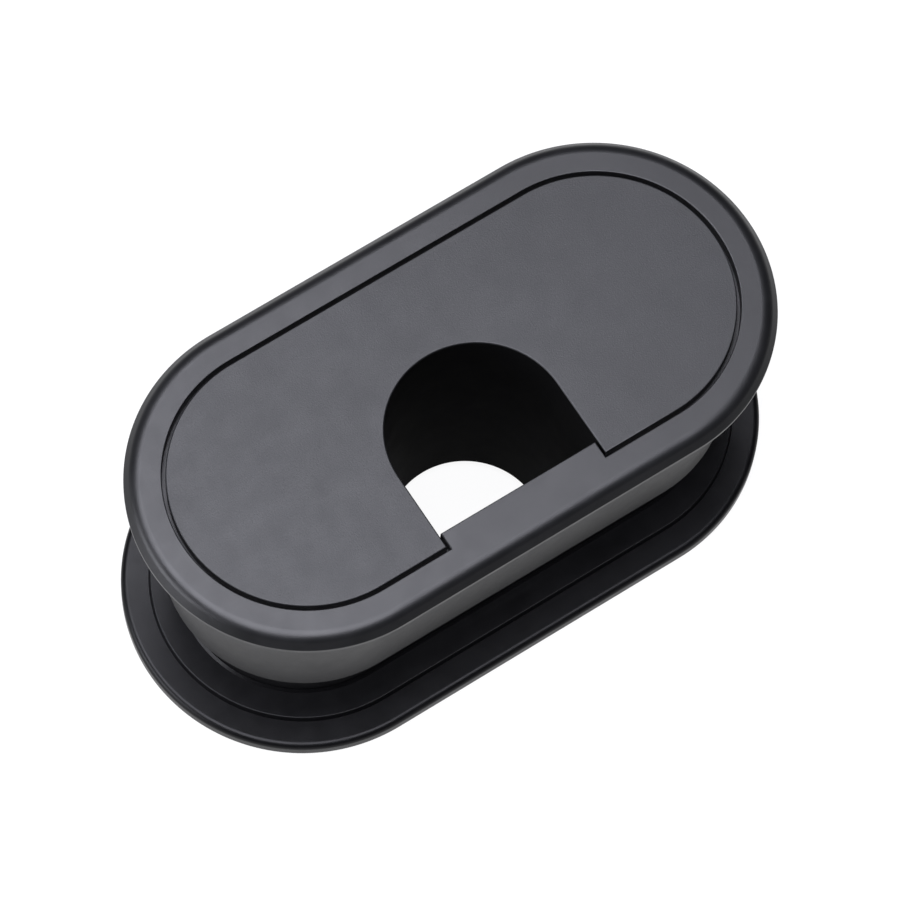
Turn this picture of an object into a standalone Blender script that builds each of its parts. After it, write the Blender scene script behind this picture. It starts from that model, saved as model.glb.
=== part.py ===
"""Oblong desk grommet: an upper sleeve, a lift-out cover with a cable chute, and a lower sleeve.

The two flanged sleeves telescope and grip a worktop between their flanges. Every horizontal
section is an oblong: two half circles joined by straight sides. X runs along the grommet,
-Y is the side of the cable notch, +Z is up, and the lower flange stands on Z = 0.
"""
import math

import bmesh
import bpy
from mathutils import Vector

MM = 0.001

# Oblong plan: distance from the centre to the middle of each round end, and facets per end.
HALF_STRAIGHT = 24.95
END_FACETS = 28

# Heights.
TOP = 45.0
FLANGE_THICKNESS = 2.7
REBATE_FLOOR = 42.9
LEDGE_END = 41.2
UPPER_TUBE_END = 14.0
LOWER_FLANGE_TOP = 2.8
STEP_TOP = 3.8
LOWER_TUBE_END = 24.5

# End radii of the upper sleeve.
FLANGE_RADIUS = 25.9
RING_FLAT_RADIUS = 23.4
NECK_RADIUS_TOP = 21.0
NECK_RADIUS_END = 20.8
UPPER_BORE_RADIUS = 19.2
REBATE_RADIUS = 20.45
LEDGE_RADIUS = 18.0

# The ring's shoulder: a round, a straight slope in degrees, and a tighter round to the side.
SHOULDER_ROUND = 2.2
SHOULDER_SLOPE = 54.0
SIDE_ROUND = 0.2
UNDER_ROUND = 0.2

# End radii of the lower sleeve; its raised step centres it in the desk's hole.
LOWER_FLANGE_RADIUS = 26.9
STEP_RADIUS = 22.6
LOWER_TUBE_RADIUS = 18.3
LOWER_BORE_RADIUS = 16.7
EDGE_ROUND = 1.0
SMALL_CHAMFER = 0.4

# Cover plate, the rim that locates it in the ledge, and the stiffening ribs below it.
COVER_RADIUS = 19.9
COVER_THICKNESS = 1.8
COVER_EDGE_ROUND = 0.25
RIM_RADIUS = 17.7
RIM_WALL = 1.5
RIM_END = 39.2
RIB_PLACES = (22.0, 31.0)
RIB_WIDTH = 1.2
RIB_INSET = 3.0
RIB_END = 40.6

# Cable notch in the cover, and the chute that hangs from its edge.
NOTCH_CENTRE_X = -0.6
NOTCH_CENTRE_Y = -7.4
NOTCH_RADIUS = 13.45
CHUTE_END_RADIUS = 11.95
CHUTE_WALL = 1.4
CHUTE_END = 2.0
CHUTE_FRONT_Y = -16.3
NOTCH_FACETS = 28

# Tongue of the ring that bridges the rebate across the mouth of the notch.
TONGUE_HALF_WIDTH = 13.1
TONGUE_BACK_Y = -17.7

# Snap tongues of the lower sleeve, and the racks inside the upper sleeve.
SNAP_X = 18.0
SNAP_WIDTH = 6.0
SNAP_SLIT = 0.8
SNAP_ROOT = 15.0
SNAP_TOOTH_HEIGHT = 0.3
RACK_PITCH = 2.0
RACK_TEETH = 8
RACK_FIRST = 16.5
TOOTH_LENGTH = 1.2

# Facets of large and small rounds, how far joined shapes run into each other, and how far cutters
# run past the faces they cut. Edges sharper than the last angle are shaded as edges.
ROUND_STEPS = 4
SMALL_ROUND_STEPS = 3
EMBED = 0.3
CUT_MARGIN = 1.0
SHARP_ANGLE = 32.0

MATERIALS = {
    "satin_ring": (0.052, 0.053, 0.056, 0.38),
    "textured_cover": (0.046, 0.047, 0.051, 0.48),
    "satin_base": (0.030, 0.030, 0.032, 0.42),
}


def clear_scene():
    for old in list(bpy.data.objects):
        bpy.data.objects.remove(old, do_unlink=True)


def plastic(name):
    red, green, blue, roughness = MATERIALS[name]
    material = bpy.data.materials.new(name)
    material.use_nodes = True
    shader = material.node_tree.nodes["Principled BSDF"]
    shader.inputs["Base Color"].default_value = (red, green, blue, 1.0)
    shader.inputs["Roughness"].default_value = roughness
    shader.inputs["Metallic"].default_value = 0.0
    material.diffuse_color = (red, green, blue, 1.0)
    return material


def arc(centre, radii, start, end, steps):
    """Points of an elliptical arc, angles in degrees, both ends included."""
    points = []
    for step in range(steps + 1):
        angle = math.radians(start + (end - start) * step / steps)
        points.append((centre[0] + radii[0] * math.cos(angle), centre[1] + radii[1] * math.sin(angle)))
    return points


def oblong(radius, z):
    """Closed oblong outline at one height, anticlockwise from the front of the right end."""
    right = arc((HALF_STRAIGHT, 0.0), (radius, radius), -90, 90, END_FACETS)
    left = arc((-HALF_STRAIGHT, 0.0), (radius, radius), 90, 270, END_FACETS)
    return [Vector((x, y, z)) * MM for x, y in right + left]


def u_outline(radius, front_y, z):
    """Closed U outline around the notch: round at the back, straight sides to a square front."""
    back = arc((NOTCH_CENTRE_X, NOTCH_CENTRE_Y), (radius, radius), 0, 180, NOTCH_FACETS)
    corners = [(NOTCH_CENTRE_X - radius, front_y), (NOTCH_CENTRE_X + radius, front_y)]
    return [Vector((x, y, z)) * MM for x, y in back + corners]


def new_object(name, build):
    """Make a mesh object from a bmesh, with its faces turned outward."""
    bmesh.ops.recalc_face_normals(build, faces=build.faces)
    mesh = bpy.data.meshes.new(name)
    build.to_mesh(mesh)
    build.free()
    made = bpy.data.objects.new(name, mesh)
    bpy.context.scene.collection.objects.link(made)
    return made


def stack(name, outlines, closed):
    """Skin outlines of equal length in order; capped at both ends, or joined last to first."""
    build = bmesh.new()
    rings = [[build.verts.new(point) for point in outline] for outline in outlines]
    pairs = list(zip(rings, rings[1:]))
    if closed:
        pairs.append((rings[-1], rings[0]))
    else:
        build.faces.new(rings[0])
        build.faces.new(rings[-1])
    for lower, upper in pairs:
        for index in range(len(lower)):
            after = (index + 1) % len(lower)
            build.faces.new((lower[index], lower[after], upper[after], upper[index]))
    return new_object(name, build)


def oblong_ring(name, profile):
    """Sweep a closed profile of (radius, height) points round the oblong."""
    return stack(name, [oblong(radius, z) for radius, z in profile], closed=True)


def boxes(name, ranges):
    """Separate boxes in one object, each given as (x0, x1, y0, y1, z0, z1)."""
    build = bmesh.new()
    for x0, x1, y0, y1, z0, z1 in ranges:
        cube = bmesh.ops.create_cube(build, size=1.0)
        for vertex in cube["verts"]:
            part = vertex.co + Vector((0.5, 0.5, 0.5))
            vertex.co.x = (x0 + (x1 - x0) * part.x) * MM
            vertex.co.y = (y0 + (y1 - y0) * part.y) * MM
            vertex.co.z = (z0 + (z1 - z0) * part.z) * MM
    return new_object(name, build)


def combine(target, other, operation):
    """Add a Boolean to the target and hide the shape that it uses."""
    modifier = target.modifiers.new(operation.lower() + "_" + other.name, "BOOLEAN")
    modifier.operation = operation
    modifier.solver = "EXACT"
    modifier.object = other
    other.hide_render = True
    other.display_type = "WIRE"


def finish(made, material_name):
    made.data.materials.append(plastic(material_name))
    made.data.shade_smooth()
    made.data.set_sharp_from_angle(angle=math.radians(SHARP_ANGLE))


def snap_centres():
    """The middles of the four snaps: two on each long side."""
    return [(side_x * SNAP_X, side_y) for side_x in (-1, 1) for side_y in (-1, 1)]


def teeth(name, face_y, outward, heights):
    """Tooth bars on the four snap places, standing out of the face at |y| = face_y."""
    ranges = []
    inner = face_y - EMBED if outward else face_y - SNAP_TOOTH_HEIGHT
    outer = face_y + SNAP_TOOTH_HEIGHT if outward else face_y + EMBED
    for centre_x, side_y in snap_centres():
        low_y, high_y = sorted((side_y * inner, side_y * outer))
        for low_z in heights:
            x_range = (centre_x - SNAP_WIDTH / 2, centre_x + SNAP_WIDTH / 2)
            ranges.append((*x_range, low_y, high_y, low_z, low_z + TOOTH_LENGTH))
    return boxes(name, ranges)


def shoulder():
    """Section of the ring's outer edge, from its flat top down to its underside."""
    lean = 90.0 - SHOULDER_SLOPE
    top_centre = (RING_FLAT_RADIUS, TOP - SHOULDER_ROUND)
    top = arc(top_centre, (SHOULDER_ROUND, SHOULDER_ROUND), 90, lean, ROUND_STEPS)
    side_centre = FLANGE_RADIUS - SIDE_ROUND
    slope_end = side_centre + SIDE_ROUND * math.cos(math.radians(lean))
    slope_drop = (slope_end - top[-1][0]) * math.tan(math.radians(SHOULDER_SLOPE))
    side_z = top[-1][1] - slope_drop - SIDE_ROUND * math.sin(math.radians(lean))
    side = arc((side_centre, side_z), (SIDE_ROUND, SIDE_ROUND), lean, 0, SMALL_ROUND_STEPS)
    under_centre = (FLANGE_RADIUS - UNDER_ROUND, TOP - FLANGE_THICKNESS + UNDER_ROUND)
    return top + side + arc(under_centre, (UNDER_ROUND, UNDER_ROUND), 0, -90, SMALL_ROUND_STEPS)


def make_upper_sleeve():
    underside = TOP - FLANGE_THICKNESS
    profile = [(REBATE_RADIUS, REBATE_FLOOR), (REBATE_RADIUS, TOP)] + shoulder()
    profile += [(NECK_RADIUS_TOP, underside), (NECK_RADIUS_END, UPPER_TUBE_END + SMALL_CHAMFER)]
    profile += [(NECK_RADIUS_END - SMALL_CHAMFER, UPPER_TUBE_END), (UPPER_BORE_RADIUS, UPPER_TUBE_END)]
    profile += [(UPPER_BORE_RADIUS, LEDGE_END), (LEDGE_RADIUS, LEDGE_END), (LEDGE_RADIUS, REBATE_FLOOR)]
    sleeve = oblong_ring("upper_sleeve", profile)

    tongue = boxes("mouth_tongue", [(NOTCH_CENTRE_X - TONGUE_HALF_WIDTH, NOTCH_CENTRE_X + TONGUE_HALF_WIDTH,
                                     -REBATE_RADIUS - CUT_MARGIN, TONGUE_BACK_Y, REBATE_FLOOR - CUT_MARGIN,
                                     TOP)])
    combine(sleeve, tongue, "UNION")

    rack_heights = [RACK_FIRST + RACK_PITCH * tooth for tooth in range(RACK_TEETH)]
    combine(sleeve, teeth("rack_teeth", UPPER_BORE_RADIUS, False, rack_heights), "UNION")
    finish(sleeve, "satin_ring")


def make_cover():
    underside = TOP - COVER_THICKNESS
    edge = arc((COVER_RADIUS - COVER_EDGE_ROUND, TOP - COVER_EDGE_ROUND),
               (COVER_EDGE_ROUND, COVER_EDGE_ROUND), 0, 90, SMALL_ROUND_STEPS)
    plate = [(COVER_RADIUS, underside)] + edge
    cover = stack("cover", [oblong(radius, z) for radius, z in plate], closed=False)

    rim_inner = RIM_RADIUS - RIM_WALL
    rim_top = underside + EMBED
    rim = oblong_ring("locating_rim", [(rim_inner, rim_top), (RIM_RADIUS, rim_top),
                                       (RIM_RADIUS, RIM_END), (rim_inner, RIM_END)])
    combine(cover, rim, "UNION")

    rib_reach = rim_inner - RIB_INSET
    ribs = boxes("stiffening_ribs", [(side * place - RIB_WIDTH / 2, side * place + RIB_WIDTH / 2,
                                      -rib_reach, rib_reach, RIB_END, rim_top)
                                     for side in (-1, 1) for place in RIB_PLACES])
    combine(cover, ribs, "UNION")

    chute = stack("chute_outside", [u_outline(CHUTE_END_RADIUS + CHUTE_WALL, CHUTE_FRONT_Y, CHUTE_END),
                                    u_outline(NOTCH_RADIUS + CHUTE_WALL, CHUTE_FRONT_Y, rim_top)],
                  closed=False)
    combine(cover, chute, "UNION")

    widening = (NOTCH_RADIUS - CHUTE_END_RADIUS) / (TOP - CHUTE_END) * CUT_MARGIN
    past_front = -COVER_RADIUS - CUT_MARGIN
    notch = stack("notch_cutter", [u_outline(CHUTE_END_RADIUS - widening, past_front,
                                             CHUTE_END - CUT_MARGIN),
                                   u_outline(NOTCH_RADIUS + widening, past_front, TOP + CUT_MARGIN)],
                  closed=False)
    combine(cover, notch, "DIFFERENCE")
    finish(cover, "textured_cover")


def make_lower_sleeve():
    edge_centre = (LOWER_FLANGE_RADIUS - EDGE_ROUND, LOWER_FLANGE_TOP - EDGE_ROUND)
    edge = arc(edge_centre, (EDGE_ROUND, EDGE_ROUND), 0, 90, ROUND_STEPS)
    profile = [(LOWER_FLANGE_RADIUS - SMALL_CHAMFER, 0.0), (LOWER_FLANGE_RADIUS, SMALL_CHAMFER)] + edge
    profile += [(STEP_RADIUS + SMALL_CHAMFER, LOWER_FLANGE_TOP), (STEP_RADIUS, STEP_TOP - SMALL_CHAMFER)]
    profile += [(STEP_RADIUS - SMALL_CHAMFER, STEP_TOP), (LOWER_TUBE_RADIUS + SMALL_CHAMFER, STEP_TOP)]
    profile += [(LOWER_TUBE_RADIUS, STEP_TOP + SMALL_CHAMFER)]
    profile += [(LOWER_TUBE_RADIUS, LOWER_TUBE_END - SMALL_CHAMFER)]
    profile += [(LOWER_TUBE_RADIUS - SMALL_CHAMFER, LOWER_TUBE_END), (LOWER_BORE_RADIUS, LOWER_TUBE_END)]
    profile += [(LOWER_BORE_RADIUS, SMALL_CHAMFER), (LOWER_BORE_RADIUS + SMALL_CHAMFER, 0.0)]
    sleeve = oblong_ring("lower_sleeve", profile)

    slits = []
    for centre_x, side_y in snap_centres():
        low_y, high_y = sorted((side_y * (LOWER_BORE_RADIUS - CUT_MARGIN),
                                side_y * (LOWER_TUBE_RADIUS + CUT_MARGIN)))
        for side_x in (-1, 1):
            slit_x = centre_x + side_x * (SNAP_WIDTH + SNAP_SLIT) / 2
            slits.append((slit_x - SNAP_SLIT / 2, slit_x + SNAP_SLIT / 2, low_y, high_y,
                          SNAP_ROOT, LOWER_TUBE_END + CUT_MARGIN))
    combine(sleeve, boxes("snap_slits", slits), "DIFFERENCE")

    tooth_height = LOWER_TUBE_END - SMALL_CHAMFER - TOOTH_LENGTH
    combine(sleeve, teeth("snap_teeth", LOWER_TUBE_RADIUS, True, [tooth_height]), "UNION")
    finish(sleeve, "satin_base")


clear_scene()
make_upper_sleeve()
make_cover()
make_lower_sleeve()
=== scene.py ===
"""Looks of the oblong desk grommet: fine meshes, moulded-plastic materials, soft studio, camera."""
import math

import bmesh
import bpy
from mathutils import Matrix, Vector


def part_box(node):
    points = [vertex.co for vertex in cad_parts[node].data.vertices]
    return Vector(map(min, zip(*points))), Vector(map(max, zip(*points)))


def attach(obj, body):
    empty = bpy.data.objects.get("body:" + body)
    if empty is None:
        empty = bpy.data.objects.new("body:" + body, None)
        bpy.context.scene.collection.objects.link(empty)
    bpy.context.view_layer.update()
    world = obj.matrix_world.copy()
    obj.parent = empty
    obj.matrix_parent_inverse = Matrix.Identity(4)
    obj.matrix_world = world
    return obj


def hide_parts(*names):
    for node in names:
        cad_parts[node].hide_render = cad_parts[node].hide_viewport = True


MM = 0.001

# Driving sizes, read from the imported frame.
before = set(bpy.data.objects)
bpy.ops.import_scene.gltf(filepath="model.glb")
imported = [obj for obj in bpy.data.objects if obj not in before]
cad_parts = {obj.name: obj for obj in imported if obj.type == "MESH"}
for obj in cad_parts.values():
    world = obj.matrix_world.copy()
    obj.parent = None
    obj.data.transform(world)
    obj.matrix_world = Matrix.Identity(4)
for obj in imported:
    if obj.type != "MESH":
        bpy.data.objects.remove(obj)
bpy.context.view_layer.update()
UPPER_LOW, UPPER_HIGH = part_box("upper_sleeve")
COVER_LOW, COVER_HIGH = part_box("cover")
LOWER_LOW, LOWER_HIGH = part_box("lower_sleeve")
TOP = UPPER_HIGH.z
FLANGE_RADIUS = UPPER_HIGH.y
HALF_STRAIGHT = UPPER_HIGH.x - FLANGE_RADIUS
COVER_RADIUS = COVER_HIGH.y
LOWER_FLANGE_RADIUS = LOWER_HIGH.y

# Facets of each half circle, and of the rounds of the section, from the largest to the smallest.
END_FACETS = 96
SHOULDER_STEPS = 12
SIDE_STEPS = 8
LIP_STEPS = 4
ROUND_STEPS = 3

# Angles in degrees: faces this flat are merged, edges this sharp are rounded or shaded as edges.
FLAT_ANGLE = 0.05
ROUNDED_EDGE_ANGLE = 50
SHARP_ANGLE = 40
NORMAL_WEIGHT = 80

# Two heights or radii closer than this count as equal.
TOUCH = 0.01 * MM

# Upper sleeve: end radii and heights of its section.
RING_FLAT_RADIUS = 23.4 * MM
SHOULDER_ROUND = 2.2 * MM
SHOULDER_SLOPE = 54.0
SIDE_ROUND = 0.2 * MM
UNDER_ROUND = 0.2 * MM
FLANGE_THICKNESS = 2.7 * MM
LEDGE_END = 41.2 * MM
NECK_RADIUS_TOP = 21.0 * MM
NECK_RADIUS_END = 20.8 * MM
UPPER_BORE_RADIUS = 19.2 * MM
REBATE_RADIUS = 20.45 * MM
REBATE_DEPTH = 2.1 * MM
LEDGE_RADIUS = 18.0 * MM
TONGUE_HALF_WIDTH = 13.1 * MM
TONGUE_BACK_Y = -17.7 * MM
LIP_CHAMFER = 0.4 * MM

# Lower sleeve.
LOWER_FLANGE_THICKNESS = 2.8 * MM
LOWER_EDGE_ROUND = 1.0 * MM
STEP_RADIUS = 22.6 * MM
STEP_TOP = 3.8 * MM
STEP_ROUND = 0.2 * MM
LOWER_TUBE_RADIUS = 18.3 * MM
LOWER_BORE_RADIUS = 16.7 * MM

# Cover.
COVER_THICKNESS = 1.8 * MM
RIM_RADIUS = 17.7 * MM
RIM_WALL = 1.5 * MM
RIM_END = 39.2 * MM
RIB_PLACES = (22.0 * MM, 31.0 * MM)
RIB_WIDTH = 1.2 * MM
RIB_INSET = 3.0 * MM
RIB_END = 40.6 * MM
NOTCH_CENTRE_X = -0.6 * MM
NOTCH_CENTRE_Y = -7.4 * MM
NOTCH_RADIUS = 13.45 * MM
CHUTE_END_RADIUS = 11.95 * MM
CHUTE_WALL = 1.4 * MM
CHUTE_FRONT_Y = -16.3 * MM
OVERLAP = 0.3 * MM
CUT_MARGIN = 1.0 * MM

# Snap tongues and racks.
SNAP_X = 18.0 * MM
SNAP_WIDTH = 6.0 * MM
SNAP_SLIT = 0.8 * MM
SNAP_ROOT = 15.0 * MM
TOOTH_HEIGHT = 0.3 * MM
TOOTH_LENGTH = 1.2 * MM
RACK_PITCH = 2.0 * MM
RACK_TEETH = 8
RACK_FIRST = 16.5 * MM

# Edge rounds of the moulded pieces.
RING_EDGE_ROUND = 0.18 * MM
COVER_EDGE_ROUND = 0.22 * MM

# Plastics: linear base colour, roughness, noise scale of the grain, grain depth in metres, and
# specular level. The values are low because the plastic in the photo is nearly black; the base
# and chute looks are darker and less shiny still, which is painted shade.
RING_LOOK = ((0.0038, 0.0039, 0.0043), 0.38, 5200.0, 0.00002, 0.30)
COVER_LOOK = ((0.0048, 0.005, 0.0055), 0.43, 4200.0, 0.00004, 0.30)
# The base look is a darker, less shiny copy of the ring plastic: painted shade for the lower sleeve under
# the flange.
BASE_SHADED_LOOK = ((0.0022, 0.0022, 0.0025), 0.34, 5200.0, 0.00002, 0.13)
# The chute look is a still darker, duller copy of the same plastic: painted shade inside the chute.
CHUTE_PAINTED_SHADE_LOOK = ((0.0011, 0.0011, 0.0012), 0.8, 3000.0, 0.00003, 0.02)

# Mottling, streaks and bumps that all the plastics share. A noise is its detail and roughness.
FLOW_SCALE = 55.0
CLOUD_SCALE = 260.0
CLOUD_NOISE = (3.0, 0.6)
GRAIN_NOISE = (3.0, 0.65)
STREAK_NOISE = (4.0, 0.55)
FLOW_SHARE = 0.6
MOTTLE_DARK = 0.82
MOTTLE_LIGHT = 1.22
MOTTLE_RANGE = (0.35, 0.65)
SPECK_LIGHT = 1.8
SPECK_RANGE = (0.62, 0.78)
SPECK_SHARE = 0.5
CLOUD_RANGE = (0.3, 0.7)
STREAK_RANGE = (0.55, 0.75)
STREAK_SCALE = (60.0, 900.0, 400.0)
STREAK_SHINE = 0.02
SHINIER = 0.03
DULLER = 0.04
FLOW_STRENGTH = 0.25
FLOW_DEPTH = 0.0004
GRAIN_STRENGTH = 0.6

# Softboxes: place, size, power and colour. The background is dim so that the sides stay dark.
OVERHEAD_PLACE = Vector((-0.155, 0.06, 0.85))
OVERHEAD_SIZE = (0.80, 0.96)
OVERHEAD_POWER = 28.5
OVERHEAD_COLOUR = (0.93, 0.935, 1.035)
LEFT_PLACE = Vector((-0.9, 0.2, 0.27))
LEFT_TARGET = Vector((0.0, 0.0, 0.04))
LEFT_SIZE = (0.7, 0.35)
LEFT_POWER = 8.0
LEFT_COLOUR = (0.94, 0.95, 1.03)
BACKGROUND_STRENGTH = 0.035
WHITE = (1.0, 1.0, 1.0, 1.0)

# Studio table: half its side, its gap below the grommet, its surface, and how its glow fades.
# The glow is painted light: the dark table glows white near the grommet, in its shade too, greyer far off.
FLOOR_HALF_SIZE = 1.6
FLOOR_CELLS = 8
FLOOR_COLOUR = (0.08, 0.08, 0.08, 1.0)
FLOOR_ROUGHNESS = 0.9
FLOOR_SPECULAR = 0.1
FLOOR_GAP = 0.0002
FLOOR_GLOW_NEAR_REACH = 0.10
FLOOR_GLOW_FAR_REACH = 0.28
FLOOR_GLOW_NEAR = 0.9
FLOOR_GLOW_FAR = 0.34

# Camera: it looks at a point on the cover from the front left, high up.
CAMERA_AIM = Vector((-5.7 * MM, -7.8 * MM, TOP))
CAMERA_AZIMUTH = -38.6
CAMERA_ELEVATION = 68.55
CAMERA_ROLL = 6.03
CAMERA_DISTANCE = 0.7966
CAMERA_LENS = 224.4
CAMERA_SENSOR = 36.0
CAMERA_NEAR = 0.01
CAMERA_FAR = 10.0


def arc(centre, radii, start, end, steps):
    """Points of an elliptical arc, angles in degrees, both ends included."""
    points = []
    for step in range(steps + 1):
        angle = math.radians(start + (end - start) * step / steps)
        points.append((centre[0] + radii[0] * math.cos(angle), centre[1] + radii[1] * math.sin(angle)))
    return points


def oblong(radius, z):
    """Closed oblong outline at one height."""
    right = arc((HALF_STRAIGHT, 0.0), (radius, radius), -90, 90, END_FACETS)
    left = arc((-HALF_STRAIGHT, 0.0), (radius, radius), 90, 270, END_FACETS)
    return [Vector((x, y, z)) for x, y in right + left]


def u_outline(radius, front_y, z):
    """Closed U outline round the notch, square at the front."""
    back = arc((NOTCH_CENTRE_X, NOTCH_CENTRE_Y), (radius, radius), 0, 180, END_FACETS)
    corners = [(NOTCH_CENTRE_X - radius, front_y), (NOTCH_CENTRE_X + radius, front_y)]
    return [Vector((x, y, z)) for x, y in back + corners]


def new_object(name, build):
    bmesh.ops.recalc_face_normals(build, faces=build.faces)
    mesh = bpy.data.meshes.new(name)
    build.to_mesh(mesh)
    build.free()
    made = bpy.data.objects.new(name, mesh)
    bpy.context.scene.collection.objects.link(made)
    return made


def stack(name, outlines, closed):
    """Skin outlines of equal length in order; capped at both ends, or joined last to first."""
    build = bmesh.new()
    rings = [[build.verts.new(point) for point in outline] for outline in outlines]
    pairs = list(zip(rings, rings[1:]))
    if closed:
        pairs.append((rings[-1], rings[0]))
    else:
        build.faces.new(rings[0])
        build.faces.new(rings[-1])
    for lower, upper in pairs:
        for index in range(len(lower)):
            after = (index + 1) % len(lower)
            build.faces.new((lower[index], lower[after], upper[after], upper[index]))
    return new_object(name, build)


def oblong_ring(name, profile):
    return stack(name, [oblong(radius, z) for radius, z in profile], closed=True)


def boxes(name, ranges):
    """Separate boxes in one object, each given as (x0, x1, y0, y1, z0, z1)."""
    build = bmesh.new()
    for x0, x1, y0, y1, z0, z1 in ranges:
        cube = bmesh.ops.create_cube(build, size=1.0)
        for vertex in cube["verts"]:
            part = vertex.co + Vector((0.5, 0.5, 0.5))
            vertex.co = Vector((x0 + (x1 - x0) * part.x, y0 + (y1 - y0) * part.y, z0 + (z1 - z0) * part.z))
    return new_object(name, build)


def combine(target, other, operation):
    """Boolean with the result kept in the target's mesh; the other shape is used up."""
    modifier = target.modifiers.new("shape", "BOOLEAN")
    modifier.operation = operation
    modifier.solver = "EXACT"
    modifier.object = other
    evaluated = target.evaluated_get(bpy.context.evaluated_depsgraph_get())
    mesh = bpy.data.meshes.new_from_object(evaluated)
    target.modifiers.clear()
    target.data = mesh
    bpy.data.objects.remove(other, do_unlink=True)


def round_edges(made, width, chosen):
    """Round the sharp edges that `chosen` picks by their two end points."""
    build = bmesh.new()
    build.from_mesh(made.data)
    bmesh.ops.dissolve_limit(build, angle_limit=math.radians(FLAT_ANGLE), verts=build.verts,
                             edges=build.edges)
    limit = math.radians(ROUNDED_EDGE_ANGLE)
    edges = [edge for edge in build.edges
             if len(edge.link_faces) == 2 and edge.calc_face_angle() > limit
             and chosen(edge.verts[0].co, edge.verts[1].co)]
    bmesh.ops.bevel(build, geom=edges, offset=width, offset_type="OFFSET", segments=ROUND_STEPS,
                    profile=0.5, affect="EDGES", clamp_overlap=True)
    build.to_mesh(made.data)
    build.free()


def on_top(first, second):
    """True for the two ends of an edge that lies in the grommet's flat top."""
    return min(first.z, second.z) > TOP - TOUCH


def finish_piece(made, node, body, material):
    """Smooth shading that keeps flat faces flat, a material, and the piece's place in the frame."""
    made.data.shade_smooth()
    made.data.set_sharp_from_angle(angle=math.radians(SHARP_ANGLE))
    weighted = made.modifiers.new("weighted_normals", "WEIGHTED_NORMAL")
    weighted.keep_sharp = True
    weighted.weight = NORMAL_WEIGHT
    made.data.materials.clear()
    made.data.materials.append(material)
    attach(made, body)
    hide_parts(node)


def snap_centres():
    return [(side_x * SNAP_X, side_y) for side_x in (-1, 1) for side_y in (-1, 1)]


def teeth(name, face_y, outward, heights):
    """Tooth bars on the four snap places, standing out of the face at |y| = face_y."""
    ranges = []
    inner = face_y - OVERLAP if outward else face_y - TOOTH_HEIGHT
    outer = face_y + TOOTH_HEIGHT if outward else face_y + OVERLAP
    for centre_x, side_y in snap_centres():
        low_y, high_y = sorted((side_y * inner, side_y * outer))
        for low_z in heights:
            x_range = (centre_x - SNAP_WIDTH / 2, centre_x + SNAP_WIDTH / 2)
            ranges.append((*x_range, low_y, high_y, low_z, low_z + TOOTH_LENGTH))
    return boxes(name, ranges)


def shoulder():
    """Section of the ring's outer edge, from its flat top down to its underside."""
    lean = 90.0 - SHOULDER_SLOPE
    top_centre = (RING_FLAT_RADIUS, TOP - SHOULDER_ROUND)
    top = arc(top_centre, (SHOULDER_ROUND, SHOULDER_ROUND), 90, lean, SHOULDER_STEPS)
    side_centre = FLANGE_RADIUS - SIDE_ROUND
    slope_end = side_centre + SIDE_ROUND * math.cos(math.radians(lean))
    slope_drop = (slope_end - top[-1][0]) * math.tan(math.radians(SHOULDER_SLOPE))
    side_z = top[-1][1] - slope_drop - SIDE_ROUND * math.sin(math.radians(lean))
    side = arc((side_centre, side_z), (SIDE_ROUND, SIDE_ROUND), lean, 0, SIDE_STEPS)
    under_centre = (FLANGE_RADIUS - UNDER_ROUND, TOP - FLANGE_THICKNESS + UNDER_ROUND)
    return top + side + arc(under_centre, (UNDER_ROUND, UNDER_ROUND), 0, -90, LIP_STEPS)


def make_upper_sleeve(material):
    underside = TOP - FLANGE_THICKNESS
    floor = TOP - REBATE_DEPTH
    end = UPPER_LOW.z
    profile = [(REBATE_RADIUS, floor), (REBATE_RADIUS, TOP)] + shoulder()
    profile += [(NECK_RADIUS_TOP, underside), (NECK_RADIUS_END, end + LIP_CHAMFER)]
    profile += [(NECK_RADIUS_END - LIP_CHAMFER, end), (UPPER_BORE_RADIUS, end)]
    profile += [(UPPER_BORE_RADIUS, LEDGE_END), (LEDGE_RADIUS, LEDGE_END), (LEDGE_RADIUS, floor)]
    sleeve = oblong_ring("upper_sleeve_shell", profile)

    tongue = boxes("tongue", [(NOTCH_CENTRE_X - TONGUE_HALF_WIDTH, NOTCH_CENTRE_X + TONGUE_HALF_WIDTH,
                               -REBATE_RADIUS - CUT_MARGIN, TONGUE_BACK_Y, floor - CUT_MARGIN, TOP)])
    combine(sleeve, tongue, "UNION")
    rack_heights = [RACK_FIRST + RACK_PITCH * tooth for tooth in range(RACK_TEETH)]
    combine(sleeve, teeth("rack", UPPER_BORE_RADIUS, False, rack_heights), "UNION")

    round_edges(sleeve, RING_EDGE_ROUND, on_top)
    finish_piece(sleeve, "upper_sleeve", "upper_sleeve", material)


def in_notch(point):
    """True for the centres of the chute's inner faces."""
    from_axis = Vector((point.x - NOTCH_CENTRE_X, max(point.y - NOTCH_CENTRE_Y, 0.0)))
    return from_axis.length < NOTCH_RADIUS + TOUCH


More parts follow.
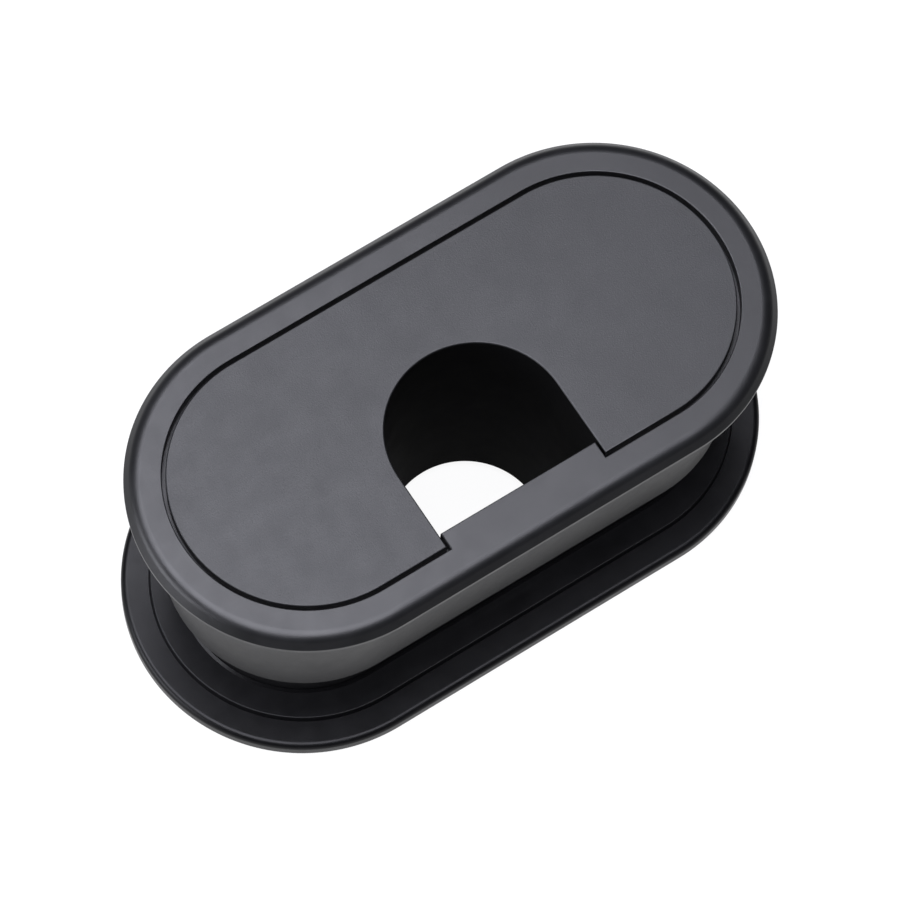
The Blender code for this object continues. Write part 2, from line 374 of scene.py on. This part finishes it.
def make_cover(material, painted_shade_material):
    underside = TOP - COVER_THICKNESS
    chute_end = COVER_LOW.z
    cover = stack("cover_moulding", [oblong(COVER_RADIUS, underside), oblong(COVER_RADIUS, TOP)],
                  closed=False)

    rim_inner = RIM_RADIUS - RIM_WALL
    rim_top = underside + OVERLAP
    rim = oblong_ring("rim", [(rim_inner, rim_top), (RIM_RADIUS, rim_top), (RIM_RADIUS, RIM_END),
                              (rim_inner, RIM_END)])
    combine(cover, rim, "UNION")
    rib_reach = rim_inner - RIB_INSET
    ribs = boxes("ribs", [(side * place - RIB_WIDTH / 2, side * place + RIB_WIDTH / 2, -rib_reach, rib_reach,
                           RIB_END, rim_top) for side in (-1, 1) for place in RIB_PLACES])
    combine(cover, ribs, "UNION")
    chute = stack("chute", [u_outline(CHUTE_END_RADIUS + CHUTE_WALL, CHUTE_FRONT_Y, chute_end),
                            u_outline(NOTCH_RADIUS + CHUTE_WALL, CHUTE_FRONT_Y, rim_top)], closed=False)
    combine(cover, chute, "UNION")

    slope = (NOTCH_RADIUS - CHUTE_END_RADIUS) / (TOP - chute_end) * CUT_MARGIN
    past_front = -COVER_RADIUS - CUT_MARGIN
    notch = stack("notch", [u_outline(CHUTE_END_RADIUS - slope, past_front, chute_end - CUT_MARGIN),
                            u_outline(NOTCH_RADIUS + slope, past_front, TOP + CUT_MARGIN)], closed=False)
    combine(cover, notch, "DIFFERENCE")

    round_edges(cover, COVER_EDGE_ROUND, on_top)
    finish_piece(cover, "cover", "cover", material)
    # Painted shade: the chute's inner faces get the darker, duller copy of the plastic.
    cover.data.materials.append(painted_shade_material)
    for face in cover.data.polygons:
        if face.center.z < TOP - COVER_EDGE_ROUND and in_notch(face.center):
            face.material_index = 1


def make_lower_sleeve(material):
    flange_top = LOWER_FLANGE_THICKNESS
    end = LOWER_HIGH.z
    edge_centre = (LOWER_FLANGE_RADIUS - LOWER_EDGE_ROUND, flange_top - LOWER_EDGE_ROUND)
    edge = arc(edge_centre, (LOWER_EDGE_ROUND, LOWER_EDGE_ROUND), 0, 90, SIDE_STEPS)
    profile = [(LOWER_FLANGE_RADIUS - LIP_CHAMFER, 0.0), (LOWER_FLANGE_RADIUS, LIP_CHAMFER)] + edge
    step_centre = (STEP_RADIUS - STEP_ROUND, STEP_TOP - STEP_ROUND)
    profile += [(STEP_RADIUS + STEP_ROUND, flange_top)]
    profile += arc(step_centre, (STEP_ROUND, STEP_ROUND), 0, 90, LIP_STEPS)
    profile += [(LOWER_TUBE_RADIUS + LIP_CHAMFER, STEP_TOP), (LOWER_TUBE_RADIUS, STEP_TOP + LIP_CHAMFER)]
    profile += [(LOWER_TUBE_RADIUS, end - LIP_CHAMFER), (LOWER_TUBE_RADIUS - LIP_CHAMFER, end)]
    profile += [(LOWER_BORE_RADIUS, end), (LOWER_BORE_RADIUS, LIP_CHAMFER)]
    profile += [(LOWER_BORE_RADIUS + LIP_CHAMFER, 0.0)]
    sleeve = oblong_ring("lower_sleeve_shell", profile)

    slits = []
    for centre_x, side_y in snap_centres():
        low_y, high_y = sorted((side_y * (LOWER_BORE_RADIUS - CUT_MARGIN),
                                side_y * (LOWER_TUBE_RADIUS + CUT_MARGIN)))
        for side_x in (-1, 1):
            slit_x = centre_x + side_x * (SNAP_WIDTH + SNAP_SLIT) / 2
            slits.append((slit_x - SNAP_SLIT / 2, slit_x + SNAP_SLIT / 2, low_y, high_y,
                          SNAP_ROOT, end + CUT_MARGIN))
    combine(sleeve, boxes("slits", slits), "DIFFERENCE")
    tooth_height = end - LIP_CHAMFER - TOOTH_LENGTH
    combine(sleeve, teeth("snap_teeth", LOWER_TUBE_RADIUS, True, [tooth_height]), "UNION")
    finish_piece(sleeve, "lower_sleeve", "lower_sleeve", material)


class Nodes:
    """Small helper that adds and links shader nodes."""

    def __init__(self, material):
        self.tree = material.node_tree
        self.shader = self.tree.nodes["Principled BSDF"]

    def add(self, kind, links=None, **settings):
        node = self.tree.nodes.new(kind)
        for key, value in settings.items():
            setattr(node, key, value)
        for socket, source in (links or {}).items():
            if isinstance(source, bpy.types.NodeSocket):
                self.tree.links.new(source, node.inputs[socket])
            else:
                node.inputs[socket].default_value = source
        return node

    def noise(self, vector, scale, detail=2.0, roughness=0.5):
        node = self.add("ShaderNodeTexNoise", {"Vector": vector, "Scale": scale, "Detail": detail,
                                               "Roughness": roughness})
        return node.outputs["Fac"]

    def remap(self, value, low, high, to_low, to_high):
        node = self.add("ShaderNodeMapRange", {"Value": value, "From Min": low, "From Max": high,
                                               "To Min": to_low, "To Max": to_high})
        return node.outputs["Result"]

    def mix(self, factor, first, second):
        node = self.add("ShaderNodeMix", data_type="RGBA")
        for socket, source in ((node.inputs[0], factor), (node.inputs[6], first), (node.inputs[7], second)):
            if isinstance(source, bpy.types.NodeSocket):
                self.tree.links.new(source, socket)
            else:
                socket.default_value = source
        return node.outputs[2]

    def math(self, operation, first, second=0.0):
        return self.add("ShaderNodeMath", {0: first, 1: second}, operation=operation).outputs[0]


def shade(colour, factor):
    """The colour made lighter or darker by a factor, with full alpha."""
    return tuple(channel * factor for channel in colour) + (1.0,)


def moulded_plastic(name, colour, roughness, grain_scale, grain_depth, specular):
    """Near-black moulded plastic: fine grain, soft flow mottling, and slightly shinier streaks."""
    material = bpy.data.materials.new(name)
    material.use_nodes = True
    nodes = Nodes(material)
    place = nodes.add("ShaderNodeTexCoord").outputs["Object"]

    flow = nodes.noise(place, FLOW_SCALE)
    cloud = nodes.noise(place, CLOUD_SCALE, *CLOUD_NOISE)
    grain = nodes.noise(place, grain_scale, *GRAIN_NOISE)

    dark = shade(colour, MOTTLE_DARK)
    light = shade(colour, MOTTLE_LIGHT)
    tone = nodes.math("ADD", nodes.math("MULTIPLY", flow, FLOW_SHARE),
                      nodes.math("MULTIPLY", cloud, 1.0 - FLOW_SHARE))
    tinted = nodes.mix(nodes.remap(tone, *MOTTLE_RANGE, 0.0, 1.0), dark, light)
    speck = nodes.remap(grain, *SPECK_RANGE, 0.0, SPECK_SHARE)
    coloured = nodes.mix(speck, tinted, shade(colour, SPECK_LIGHT))
    nodes.tree.links.new(coloured, nodes.shader.inputs["Base Color"])

    # Rubbed streaks run along the grommet, where hands and cables polish it.
    stretched = nodes.add("ShaderNodeMapping", {"Vector": place, "Scale": STREAK_SCALE}).outputs["Vector"]
    streak = nodes.noise(stretched, 1.0, *STREAK_NOISE)
    rough = nodes.math("ADD", nodes.remap(cloud, *CLOUD_RANGE, roughness - SHINIER, roughness + DULLER),
                       nodes.remap(streak, *STREAK_RANGE, 0.0, -STREAK_SHINE))
    nodes.tree.links.new(rough, nodes.shader.inputs["Roughness"])
    nodes.shader.inputs["Specular IOR Level"].default_value = specular

    soft = nodes.add("ShaderNodeBump", {"Height": flow, "Strength": FLOW_STRENGTH, "Distance": FLOW_DEPTH})
    fine = nodes.add("ShaderNodeBump", {"Height": grain, "Strength": GRAIN_STRENGTH, "Distance": grain_depth,
                                        "Normal": soft.outputs["Normal"]})
    nodes.tree.links.new(fine.outputs["Normal"], nodes.shader.inputs["Normal"])
    return material


def make_floor():
    """A plain dark studio table with painted light: it glows white round the grommet, also where the grommet
    shades it, and a little greyer far from it.
    """
    build = bmesh.new()
    bmesh.ops.create_grid(build, x_segments=FLOOR_CELLS, y_segments=FLOOR_CELLS, size=FLOOR_HALF_SIZE)
    floor = new_object("studio_floor", build)
    floor.location.z = LOWER_LOW.z - FLOOR_GAP
    material = bpy.data.materials.new("studio_floor_painted_glow")
    material.use_nodes = True
    nodes = Nodes(material)
    shader = nodes.shader
    shader.inputs["Base Color"].default_value = FLOOR_COLOUR
    shader.inputs["Roughness"].default_value = FLOOR_ROUGHNESS
    shader.inputs["Specular IOR Level"].default_value = FLOOR_SPECULAR
    shader.inputs["Emission Color"].default_value = WHITE
    place = nodes.add("ShaderNodeTexCoord").outputs["Object"]
    away = nodes.add("ShaderNodeVectorMath", {0: place}, operation="LENGTH").outputs["Value"]
    # Painted light: the emission stands in for light on the table, strongest near the grommet and fading
    # with distance.
    glow = nodes.remap(away, FLOOR_GLOW_NEAR_REACH, FLOOR_GLOW_FAR_REACH, FLOOR_GLOW_NEAR, FLOOR_GLOW_FAR)
    nodes.tree.links.new(glow, shader.inputs["Emission Strength"])
    floor.data.materials.append(material)


def aim(made, target):
    """Turn a light or camera so that it looks at the target."""
    made.rotation_euler = (target - made.location).to_track_quat("-Z", "Y").to_euler()


def softbox(name, place, target, size, power, colour):
    """Rectangular area light at a place, facing the target."""
    light = bpy.data.lights.new(name, "AREA")
    light.shape = "RECTANGLE"
    light.size, light.size_y = size
    light.energy = power
    light.color = colour
    made = bpy.data.objects.new(name, light)
    bpy.context.scene.collection.objects.link(made)
    made.location = place
    aim(made, target)


def direction(azimuth, elevation):
    """Unit vector from the object towards a viewer at these angles."""
    turn = math.radians(azimuth)
    rise = math.radians(elevation)
    return Vector((math.sin(turn) * math.cos(rise), -math.cos(turn) * math.cos(rise), math.sin(rise)))


def make_lights():
    below = Vector((OVERHEAD_PLACE.x, OVERHEAD_PLACE.y, 0.0))
    softbox("overhead_softbox", OVERHEAD_PLACE, below, OVERHEAD_SIZE, OVERHEAD_POWER, OVERHEAD_COLOUR)
    softbox("left_softbox", LEFT_PLACE, LEFT_TARGET, LEFT_SIZE, LEFT_POWER, LEFT_COLOUR)
    world = bpy.data.worlds.new("studio")
    world.use_nodes = True
    background = world.node_tree.nodes["Background"]
    background.inputs["Color"].default_value = WHITE
    background.inputs["Strength"].default_value = BACKGROUND_STRENGTH
    bpy.context.scene.world = world


def make_camera():
    camera = bpy.data.cameras.new("photo_camera")
    camera.sensor_width = CAMERA_SENSOR
    camera.lens = CAMERA_LENS
    camera.clip_start = CAMERA_NEAR
    camera.clip_end = CAMERA_FAR
    made = bpy.data.objects.new("photo_camera", camera)
    bpy.context.scene.collection.objects.link(made)
    back = direction(CAMERA_AZIMUTH, CAMERA_ELEVATION)
    right = Vector((0.0, 0.0, 1.0)).cross(back).normalized()
    upright = Matrix((right, back.cross(right), back)).transposed()
    made.rotation_euler = (upright @ Matrix.Rotation(math.radians(CAMERA_ROLL), 3, "Z")).to_euler()
    made.location = CAMERA_AIM + back * CAMERA_DISTANCE
    bpy.context.scene.camera = made


RING_PLASTIC = moulded_plastic("satin_ring_plastic", *RING_LOOK)
COVER_PLASTIC = moulded_plastic("textured_cover_plastic", *COVER_LOOK)
# Painted shade: the lower sleeve gets the darker, less shiny copy of the plastic.
BASE_SHADED_PLASTIC = moulded_plastic("base_plastic_painted_shade", *BASE_SHADED_LOOK)
# Painted shade: the darkest copy of the plastic, for the inside of the chute.
INNER_PAINTED_SHADE_PLASTIC = moulded_plastic("chute_plastic_painted_shade", *CHUTE_PAINTED_SHADE_LOOK)

make_upper_sleeve(RING_PLASTIC)
make_cover(COVER_PLASTIC, INNER_PAINTED_SHADE_PLASTIC)
make_lower_sleeve(BASE_SHADED_PLASTIC)
make_floor()
make_lights()
make_camera()
bpy.context.scene.view_settings.view_transform = "Standard"
